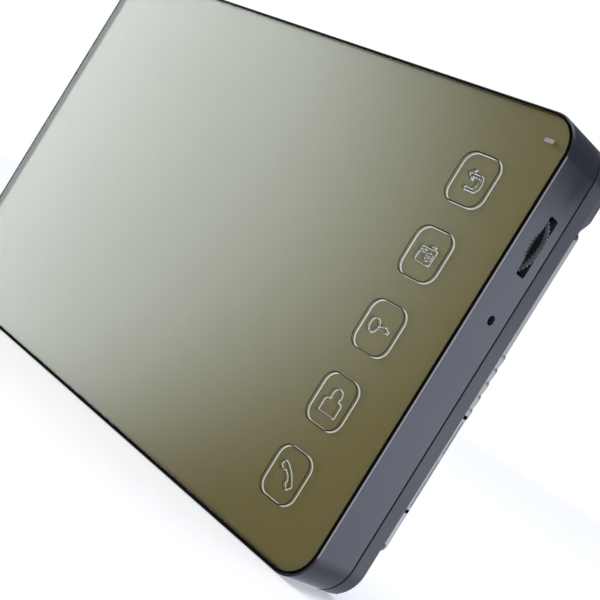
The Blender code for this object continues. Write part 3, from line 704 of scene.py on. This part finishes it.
def rear_cover():
    """Satin tray that closes the back, with a lip, feet, openings and recessed screws."""
    profile = [(LIP_IN, INNER_BACK), (LIP_IN, LIP_START), (LIP_OUT, LIP_START), (LIP_OUT, REAR_START)]
    profile += list(reversed(quarter(0.0, REAR_START, PARTING_SOFT, -1, 3)))
    profile += quarter(0.0, BACK, BACK_SOFT, 1, 5)
    shell = solid("rear_cover", [[housing(inset, depth) for inset, depth in profile]])
    change(shell, "UNION",
           [[flat(circle(spot, radius, 28), depth) for depth in (REAR_START, INNER_BACK + 0.3)]
            for radius, spots in ((BOSS_RADIUS, BOSSES), (POST_RADIUS, POSTS)) for spot in spots])
    for side in (-1, 1):
        for end in (-1, 1):
            change(shell, "UNION", [foot_rows(side, end)])

    through = (INNER_BACK - 1.0, BACK + 1.0)
    openings = [block(*SOCKET_OPENING, 0.6)]
    for x in (-HOOK_X, HOOK_X):
        openings += [rounded((x - 6.0, top - 9.5), (x + 6.0, top), 0.5, 3) for top in HOOK_TOPS]
    speaker = middle_of(CONE_LOW, CONE_HIGH)
    for row in range(-3, 4):
        rise = row * GRILLE_PITCH
        reach = math.sqrt(GRILLE_RADIUS ** 2 - rise ** 2)
        openings.append(slot((speaker[0], speaker[1] + rise), 2 * reach, GRILLE_SLOT))
    change(shell, "DIFFERENCE", [[flat(outline, depth) for depth in through] for outline in openings])
    holes = [(spot, 1.7, BACK - 1.4) for spot in BOSSES] + [(spot, 1.3, BACK - 1.2) for spot in POSTS]
    change(shell, "DIFFERENCE",
           [[flat(circle(spot, radius, 20), depth) for depth in (REAR_START - 1.0, end)]
            for spot, radius, end in holes])
    change(shell, "DIFFERENCE",
           [lathe([(3.3, BACK - 1.5), (3.3, BACK - 0.25), (3.55, BACK), (3.8, BACK + 2.0)], spot, 40)
            for spot in BOSSES])
    change(shell, "DIFFERENCE",
           [[flat(rounded(*LABEL_RECESS, 1.5, 5), depth) for depth in (BACK - 0.7, BACK + 1.0)]])
    piece(shell, SATIN, "housing", ["rear_shell"])


def cover_screws():
    """Pan-head screws with a cross recess."""
    for index, spot in enumerate(BOSSES, start=1):
        profile = [(0.15, 8.0), (0.7, 8.4), (1.3, 9.4), (1.3, BACK - 1.2), (2.7, BACK - 1.2),
                   (2.8, BACK - 1.05), (2.72, BACK - 0.62), (2.35, BACK - 0.34), (1.6, BACK - 0.22),
                   (0.6, BACK - 0.2)]
        screw = solid(f"cover_screw_{index}", [lathe(profile, spot, 40)])
        for size in ((2.7, 0.62), (0.62, 2.7)):
            cross = [flat(block(spot, (size[0] * 0.8, size[1] * 0.8), 0.12), BACK - 0.8),
                     flat(block(spot, size, 0.15), BACK + 0.1)]
            change(screw, "DIFFERENCE", [cross])
        piece(screw, LOOKS["bright_steel"], "housing", [f"housing_screw_{index}"])


def rating_label():
    profile = [(0.0, 0.02), (0.0, 0.24), (0.06, 0.3)]
    rows = []
    for inset, rise in profile:
        outline = rounded((LABEL_LOW.x + inset, LABEL_LOW.z + inset),
                          (LABEL_HIGH.x - inset, LABEL_HIGH.z - inset), 1.2, 6)
        rows.append(at_y(outline, LABEL_LOW.y + rise))
    piece(solid("blank_label", [rows]), LOOKS["label_paper"], "housing", ["rating_label"])


# ---------------------------------------------------------------- mirror face

RETURN = [(-1.87, 1.32), (-0.03, 2.92), (-0.32, 1.73), (2.4, 1.78), (3.26, 1.42), (3.84, -0.32),
          (3.7, -1.88), (2.76, -3.07), (-0.82, -3.06), (-0.95, -2.01), (2.18, -2.3), (2.63, -0.63),
          (2.72, 0.76), (-0.39, 0.94), (0.3, 0.2), (0.08, -0.14)]
CAMERA_BODY = [(-2.34, 1.94), (3.24, 1.81), (3.01, -2.61), (-2.66, -2.25)]
CAMERA_FINDER = [(-1.85, 0.45), (-1.75, 1.2), (-0.3, 1.1), (-0.4, 0.35)]
CAMERA_BUTTON = [(0.69, 2.12), (0.78, 2.7), (2.32, 2.65), (2.23, 2.07)]
KEY_BOW = [(-3.1, 2.12), (-1.64, 2.09), (-0.77, 1.49), (-0.55, 0.5), (-0.6, -0.33), (-0.96, -1.22),
           (-1.65, -1.97), (-3.14, -1.75), (-3.92, -0.44), (-3.84, 1.24)]
KEY_BLADE = [(-0.5, 0.55), (0.6, 0.5), (0.85, 1.15), (1.35, 0.5), (1.9, 1.1), (2.5, 0.45), (3.53, 0.25),
             (3.39, -0.42), (-0.5, -0.33)]
PADLOCK = [(-3.29, -3.77), (3.16, -3.76), (3.08, 0.04), (2.44, 0.52), (1.26, 0.43), (1.46, 0.95),
           (1.78, 2.09), (1.33, 3.22), (0.26, 3.74), (-0.82, 3.63), (-1.65, 2.83), (-1.8, 1.51),
           (-1.43, 0.48), (-2.83, 0.4), (-3.34, -0.43)]
HANDSET = [(-3.01, 3.19), (-1.54, 2.81), (0.86, 1.26), (2.31, -0.22), (3.54, -1.83), (2.26, -3.28),
           (0.78, -1.89), (1.08, -1.10), (0.22, 0.11), (-1.49, 1.13), (-2.14, 0.60), (-3.74, 1.76)]


def key_signs():
    """Outlines of each touch key's sign, about the key's centre."""
    signs = [[soften(shifted(RETURN, (-0.7, 0.1)), 0.12)]]
    camera = [soften(CAMERA_BODY, 0.3), soften(CAMERA_FINDER, 0.1), soften(CAMERA_BUTTON, 0.1),
              circle((1.4, -0.4), 1.15, 28), circle((1.4, -0.4), 0.4, 20)]
    signs.append([shifted(outline, (-0.5, 0.0)) for outline in camera])
    key = [soften(KEY_BOW, 0.5), soften(KEY_BLADE, 0.1)]
    signs.append([shifted(outline, (-0.2, 0.0)) for outline in key])
    signs.append([soften(PADLOCK, 0.15)])
    signs.append([soften(HANDSET, 0.2)])
    return signs


def mirror_face():
    """Clear slab with a bronze coating behind it, and the touch keys' lines on both surfaces."""
    edge = [(0.0, GLASS_DEPTHS[1]), (0.0, GLASS_DEPTHS[0] + 0.15), (0.05, GLASS_DEPTHS[0] + 0.05),
            (0.15, GLASS_DEPTHS[0])]
    slab = solid("mirror_slab", [[mirror(inset, depth) for inset, depth in edge]])
    piece(slab, CLEAR_FACE, "housing", ["mirror_panel"])
    sheet = solid("mirror_coating", [[mirror(0.08, depth) for depth in COATING_DEPTHS]])
    piece(sheet, COATING, "housing")
    # Near-black band round the panel's side edge: painted shade in the gap between the panel and the rim
    edge = [(-0.07, 0.1), (-0.07, COATING_DEPTHS[1]), (-0.02, COATING_DEPTHS[1]), (-0.02, 0.1)]
    band = solid("mirror_edge_painted_shade", [ring([mirror(inset, depth) for inset, depth in edge])])
    piece(band, DARK_LINE_AND_EDGE_SHADE, "housing")

    lines = {"key_lines_bright": [], "key_lines_dark": []}
    for index, sign in enumerate(key_signs()):
        centre = (KEY_X + index * KEY_LEAN, KEY_TOP_Z - index * KEY_PITCH)
        outlines = [block(centre, KEY_FRAME, KEY_CORNER, 8)]
        outlines += [shifted(outline, centre) for outline in sign]
        for number, outline in enumerate(outlines):
            bright, dark = (BRIGHT_SIGN, DARK_SIGN) if number else (BRIGHT_LINE, DARK_LINE)
            lines["key_lines_bright"].append(line(outline, bright, BRIGHT_DEPTHS, 0.01))
            lines["key_lines_dark"].append(line(outline, dark, DARK_DEPTHS))
    for name, shader in (("key_lines_bright", BRIGHT_PRINT), ("key_lines_dark", DARK_LINE_AND_EDGE_SHADE)):
        piece(solid(name, lines[name]), shader, "housing")

    centre = middle_of(LIGHT_LOW, LIGHT_HIGH)
    rows = [flat(block(centre, (3.0 - inset, 1.1 - inset), 0.1), depth)
            for inset, depth in ((0.0, 0.019), (0.0, 0.006), (0.05, 0.0))]
    piece(solid("status_window", [rows]), STATUS, "housing")


# ---------------------------------------------------------------- controls and sockets

def volume_wheel():
    """Crowned wheel with a knurled rim and a shallow dish in its face."""
    depths = (WHEEL_LOW.y - FRONT, WHEEL_HIGH.y - FRONT)
    middle = (depths[0] + depths[1]) / 2
    half = (depths[1] - depths[0]) / 2
    crown = []
    for share in (-1.0, -0.88, -0.6, -0.3, 0.0, 0.3, 0.6, 0.88, 1.0):
        chamfer = 0.12 if abs(share) == 1.0 else 0.0
        crown.append((WHEEL_RADIUS - 0.55 * share * share - chamfer, middle + share * half))
    profile = [(1.8, depths[0] + 0.5), (3.2, depths[0] + 0.5), (3.6, depths[0] + 0.1), (4.2, depths[0]),
               (WHEEL_RADIUS - 1.5, depths[0])]
    profile += crown
    profile += [(WHEEL_RADIUS - 1.5, depths[1]), (1.8, depths[1])]

    def tooth(index, radius):
        if radius < WHEEL_RADIUS - 0.75:
            return 0.0
        return (0.0, -0.12, -0.36, -0.36, -0.12, 0.0)[index % 6]

    wheel = solid("knurled_wheel", [ring(lathe(profile, WHEEL_AXIS, TEETH * 6, tooth))])
    piece(wheel, WHEEL_BLACK, "wheel", ["volume_wheel"], 40.0)
    # The wheel's forward-facing faces take the near-black foam material: painted shade where they face the
    # slot's front wall
    wheel.data.materials.append(LOOKS["foam"])
    for face in wheel.data.polygons:
        if face.normal.y < -0.7:
            face.material_index = 1


def terminals():
    """Four-way shrouded sockets with square pins."""
    names = ("door_socket_1", "door_socket_2", "monitor_socket", "power_socket")
    for index, node in enumerate(names, start=1):
        low, high = box_mm(node)
        centre = middle_of(low, high)
        size = (high.x - low.x, high.z - low.z)
        depths = (low.y - FRONT, high.y - FRONT)
        wall = [(0.0, depths[0]), (0.0, depths[1] - 0.15), (0.15, depths[1]), (0.85, depths[1]),
                (1.0, depths[1] - 0.15), (1.0, depths[0] + 1.2)]
        rows = [flat(block(centre, (size[0] - 2 * inset, size[1] - 2 * inset), 0.35), depth)
                for inset, depth in wall]
        shroud = solid(f"terminal_{index}", [rows])
        keyway = block((centre[0], high.z - 0.5), (2.6, 1.4), 0.1)
        change(shroud, "DIFFERENCE",
               [[flat(keyway, depth) for depth in (depths[0] + 2.6, depths[1] + 1.0)]])
        piece(shroud, LOOKS["socket_white"], "housing", [node])
        pin = [(0.64, depths[0] + 1.25), (0.64, depths[1] - 1.0), (0.3, depths[1] - 0.6)]
        pins = []
        for place in (-1.5, -0.5, 0.5, 1.5):
            spot = (centre[0] + place * 2.5, centre[1])
            pins.append([flat(block(spot, (side, side), 0.05, 1), depth) for side, depth in pin])
        piece(solid(f"terminal_pins_{index}", pins), LOOKS["bright_steel"], "housing")


def speaker_cone():
    """Curved paper cone with a rolled surround and a dust cap."""
    centre = middle_of(CONE_LOW, CONE_HIGH)
    edge = (CONE_HIGH.x - CONE_LOW.x) / 2
    near = CONE_LOW.y - FRONT
    far = CONE_HIGH.y - FRONT
    top = [(0.2, far - 0.1), (2.5, far - 0.2), (4.2, far - 0.6), (4.6, near + 0.22), (8.0, near + 0.45),
           (11.0, far - 0.3), (11.6, far - 0.1), (12.4, far), (13.2, far - 0.1), (13.8, far - 0.35),
           (edge, far - 0.4)]
    under = [(edge, far - 0.6), (13.6, far - 0.55), (12.4, far - 0.25), (11.2, far - 0.5),
             (8.0, near + 0.2), (4.4, near), (0.2, near)]
    diaphragm = solid("speaker_diaphragm", [lathe(top + under, centre, 56)])
    piece(diaphragm, LOOKS["cone_paper"], "housing", ["speaker_cone"])


# ---------------------------------------------------------------- wall bracket

def flange_rows(side):
    """Folded flange with a round bend, swept up the plate's side and tapered at its ends."""
    low = PLATE_LOW.z + PLATE_CORNER
    high = PLATE_HIGH.z - PLATE_CORNER
    rows = []
    for z, free in ((low, FLANGE_END), (low + PLATE_CORNER, FLANGE_FREE),
                    (high - PLATE_CORNER, FLANGE_FREE), (high, FLANGE_END)):
        section = [(FLANGE_X - 4.0, 0.0), (FLANGE_X - BEND, 0.0)]
        section += arc((FLANGE_X - BEND, -BEND), BEND, 90, 0, 4)[1:]
        section += [(FLANGE_X, free + 0.15), (FLANGE_X - 0.15, free), (FLANGE_X - SHEET + 0.15, free),
                    (FLANGE_X - SHEET, free + 0.15)]
        section += arc((FLANGE_X - SHEET - 0.5, -SHEET - 0.5), 0.5, 0, 90, 4)
        section += [(FLANGE_X - 4.0, -SHEET)]
        rows.append([Vector((side * x, y, z)) for x, y in section])
    return rows


def hook_rows(x, top):
    """Bent hook seen along X: a stem out of the plate and a tongue pointing up."""
    seat = top - 0.3
    front = FRONT + INNER_BACK - 0.3
    outline = [(-0.5, seat - 2.0), (-0.5, seat), (front + 0.5, seat), (front, seat + 0.5),
               (front, seat + 5.4), (front - 0.6, seat + 6.0), (front - 0.9, seat + 6.0),
               (front - 1.5, seat + 5.4), (front - 1.5, seat - 1.0), (front - 1.2, seat - 1.7),
               (front - 0.5, seat - 2.0)]
    rows = []
    for inset, place in ((0.15, -5.0), (0.0, -4.85), (0.0, 4.85), (0.15, 5.0)):
        middle = (front - 0.75, seat + 2.0)
        rows.append([Vector((x + place, y + (inset if y < middle[0] else 0.0), z)) for y, z in outline])
    return rows


def hook_plate():
    """Zinc-plated wall bracket: plate, screw slots, folded flanges with beads, and four hooks."""
    half = FLANGE_X
    low_z = PLATE_LOW.z
    high_z = PLATE_HIGH.z
    edge = [(0.08, -SHEET), (0.0, -SHEET + 0.08), (0.0, -0.08), (0.08, 0.0)]
    rows = [at_y(rounded((-half + inset, low_z + inset), (half - inset, high_z - inset),
                         PLATE_CORNER - inset, 8), y)
            for inset, y in edge]
    plate = solid("hook_plate", [rows])
    change(plate, "UNION", [flange_rows(-1), flange_rows(1)])

    beads = []
    notches = []
    swell = ((-2.2, 0.02), (-1.2, 0.2), (-0.7, BEAD_REACH), (-0.1, BEAD_REACH))
    front = FLANGE_FREE - 1.0
    for side in (-1, 1):
        for number in range(5):
            z = BEAD_START_Z + number * BEAD_PITCH
            bead = [(z - 2.0, 0.0), (z - 1.2, 0.15), (z, 0.31), (z + 0.8, BEAD_REACH), (z + 1.4, 0.25),
                    (z + 1.9, 0.0), (z, -0.4)]
            beads.append([[Vector((side * (FLANGE_X + min(reach, most)), y, place)) for place,
                           reach in bead]
                          for y, most in swell])
        for z in NOTCHES_Z:
            notch = [(front, z - 0.55), (front, z + 0.55), (-0.25, z + 0.55), (-0.25, z - 0.55)]
            notches.append([[Vector((side * x, y, height)) for y, height in notch]
                            for x in (FLANGE_X - 5.0, FLANGE_X + 1.0)])
        for low, high in GROOVES_Z:
            groove = [(-0.85, low), (-0.85, high), (-0.6, high), (-0.6, low)]
            notches.append([[Vector((side * x, y, height)) for y, height in groove]
                            for x in (FLANGE_X - 0.6, FLANGE_X + 1.0)])
    change(plate, "UNION", beads)
    change(plate, "DIFFERENCE", notches)

    holes = [rounded(*CABLE_OPENING, 3.0, 6)]
    for x in (-HOOK_X, HOOK_X):
        holes += [rounded((x - HOOK_OPENING[0], top), (x + HOOK_OPENING[0], top + HOOK_OPENING[1]), 0.8, 3)
                  for top in HOOK_TOPS]
    holes += [slot(place, 9.0, 4.4, upright=True) for place in SCREW_SLOTS]
    change(plate, "DIFFERENCE", [[at_y(outline, y) for y in (-SHEET - 1.0, 1.0)] for outline in holes])
    change(plate, "UNION", [hook_rows(x, top) for x in (-HOOK_X, HOOK_X) for top in HOOK_TOPS])
    piece(plate, ZINC, "bracket", ["wall_bracket"])


# ---------------------------------------------------------------- stage, camera and light

CAMERA_PLACE = Vector((301.1, -264.6, -10.7))
CAMERA_RIGHT = Vector((0.5899, 0.6127, 0.5259))
CAMERA_BACKWARDS = Vector((0.7135, -0.7004, 0.0157))
FLOOR_REACH = 4.0

# What the room sends from each side: in front, behind, a dark patch above the right side, and a tall window
FRONT_LIGHT = (0.29, 0.255, 0.195)
BACK_LIGHT = (1.82, 1.92, 2.28)
SHADE_LIGHT = (0.12, 0.13, 0.16)
WINDOW_LIGHT = (3.25, 3.6, 3.7)


def stage_floor():
    """Pale floor under the housing's lower edge."""
    mesh = bmesh.new()
    bmesh.ops.create_grid(mesh, x_segments=8, y_segments=8, size=FLOOR_REACH)
    data = bpy.data.meshes.new("pale_floor")
    mesh.to_mesh(data)
    mesh.free()
    data.materials.append(floor_look())
    floor = bpy.data.objects.new("pale_floor", data)
    floor.location = (0.0, 0.0, SHELL_LOW.z * MM)
    floor.visible_glossy = False
    floor.visible_shadow = False
    floor.visible_transmission = False
    bpy.context.scene.collection.objects.link(floor)


def camera():
    """Camera in front and to the right of the housing, rolled to one side."""
    data = bpy.data.cameras.new("view")
    data.lens = 73.9
    data.sensor_width = 36.0
    data.shift_x = 0.0325
    data.shift_y = 0.0513
    data.clip_start = 0.01
    item = bpy.data.objects.new("view", data)
    right = CAMERA_RIGHT.normalized()
    backwards = CAMERA_BACKWARDS.normalized()
    up = backwards.cross(right)
    turned = Matrix((right, up, backwards)).transposed()
    item.matrix_world = Matrix.Translation(CAMERA_PLACE * MM) @ turned.to_4x4()
    bpy.context.scene.collection.objects.link(item)
    bpy.context.scene.camera = item


def area_light(name, direction, reach, size, radiance, colour=(1.0, 1.0, 1.0), only=None):
    """Soft light, aimed at the object's centre; reach and size in metres."""
    data = bpy.data.lights.new(name, "AREA")
    data.shape = "RECTANGLE"
    data.size, data.size_y = size
    data.energy = radiance * math.pi * size[0] * size[1]
    data.color = colour
    item = bpy.data.objects.new(name, data)
    towards = Vector(direction).normalized()
    item.location = towards * reach
    item.rotation_euler = towards.to_track_quat("Z", "Y").to_euler()
    item.visible_camera = False
    bpy.context.scene.collection.objects.link(item)
    if only:
        lit = bpy.data.collections.new(f"{name}_subjects")
        lit.objects.link(only)
        item.light_linking.receiver_collection = lit


def surroundings():
    """White backdrop for the camera, and a soft studio of bright and dark sides for light."""
    world = bpy.data.worlds.new("studio")
    world.use_nodes = True
    bpy.context.scene.world = world
    tree = world.node_tree
    tree.nodes.clear()
    look = tree.nodes.new("ShaderNodeTexCoord").outputs["Generated"]

    def feed(socket, value):
        if isinstance(value, bpy.types.NodeSocket):
            tree.links.new(value, socket)
        else:
            socket.default_value = value

    def maths(operation, first, second=0.0):
        made = tree.nodes.new("ShaderNodeMath")
        made.operation = operation
        feed(made.inputs[0], first)
        feed(made.inputs[1], second)
        return made.outputs["Value"]

    def towards(direction):
        made = tree.nodes.new("ShaderNodeVectorMath")
        made.operation = "DOT_PRODUCT"
        feed(made.inputs[0], look)
        feed(made.inputs[1], direction)
        return made.outputs["Value"]

    def remap(value, low, high, out_low=0.0, out_high=1.0):
        made = tree.nodes.new("ShaderNodeMapRange")
        made.interpolation_type = "SMOOTHSTEP"
        for socket, number in zip(made.inputs, (value, low, high, out_low, out_high)):
            feed(socket, number)
        return made.outputs["Result"]

    def mix(share, first, second):
        made = tree.nodes.new("ShaderNodeMix")
        made.data_type = "RGBA"
        feed(made.inputs[0], share)
        feed(made.inputs[6], first)
        feed(made.inputs[7], second)
        return made.outputs[2]

    height = towards((0.0, 0.0, 1.0))
    cloud = tree.nodes.new("ShaderNodeTexNoise")
    feed(cloud.inputs["Vector"], look)
    feed(cloud.inputs["Scale"], 14.0)
    feed(cloud.inputs["Detail"], 3.0)
    ripple = maths("MULTIPLY", maths("SUBTRACT", cloud.outputs["Fac"], 0.5), 0.16)

    # Front and back of the room, dimmer low down
    colour = mix(remap(towards((0.64, 0.77, 0.0)), -0.25, 0.1), tone(*FRONT_LIGHT), tone(*BACK_LIGHT))
    low_side = remap(height, -0.5, 0.0, 0.3, 1.0)
    colour = mix(low_side, tone(0.0, 0.0, 0.0), colour)

    # Dark patch with a rippled lower edge
    shade = maths("MULTIPLY", remap(maths("ADD", height, ripple), 0.169, 0.197),
                  remap(height, 0.75, 0.95, 1.0, 0.0))
    shade = maths("MULTIPLY", shade, remap(towards((0.707, 0.707, 0.0)), -0.15, 0.15))
    colour = mix(shade, colour, tone(*SHADE_LIGHT))

    # Tall window with a bowed, soft edge
    lift = maths("SUBTRACT", height, 0.07)
    turn = maths("SUBTRACT", towards((-0.695, 0.719, 0.0)),
                 maths("MULTIPLY", maths("MULTIPLY", lift, lift), 2.2))
    window = maths("MULTIPLY", remap(turn, -0.16, 0.095),
                   remap(towards((0.0, 1.0, 0.0)), -0.3, 0.1, 1.0, 0.0))
    window = maths("MULTIPLY", window, remap(maths("ABSOLUTE", height), 0.25, 0.5, 1.0, 0.0))
    colour = mix(window, colour, tone(*WINDOW_LIGHT))

    # The camera sees plain white instead of the room
    lit = tree.nodes.new("ShaderNodeBackground")
    feed(lit.inputs["Color"], colour)
    seen = tree.nodes.new("ShaderNodeBackground")
    feed(seen.inputs["Color"], tone(1.0, 1.0, 1.0))
    choice = tree.nodes.new("ShaderNodeMixShader")
    feed(choice.inputs[0], tree.nodes.new("ShaderNodeLightPath").outputs["Is Camera Ray"])
    tree.links.new(lit.outputs[0], choice.inputs[1])
    tree.links.new(seen.outputs[0], choice.inputs[2])
    tree.links.new(choice.outputs[0], tree.nodes.new("ShaderNodeOutputWorld").inputs["Surface"])


frame_piece = front_frame()
rear_cover()
cover_screws()
rating_label()
mirror_face()
volume_wheel()
terminals()
speaker_cone()
hook_plate()

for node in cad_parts.values():
    for place in node.material_slots:
        if not node.hide_render:
            place.material = LOOKS[place.material.name.split(".")[0]]

stage_floor()
camera()
surroundings()
area_light("edge_light", (0.77, -0.64, 0.0), 1.0, (1.2, 0.6), 6.5, (0.88, 0.94, 1.0), frame_piece)
area_light("top_light", (0.0, -0.3, 0.95), 1.2, (0.7, 0.7), 2.0)
bpy.context.scene.view_settings.view_transform = "Standard"
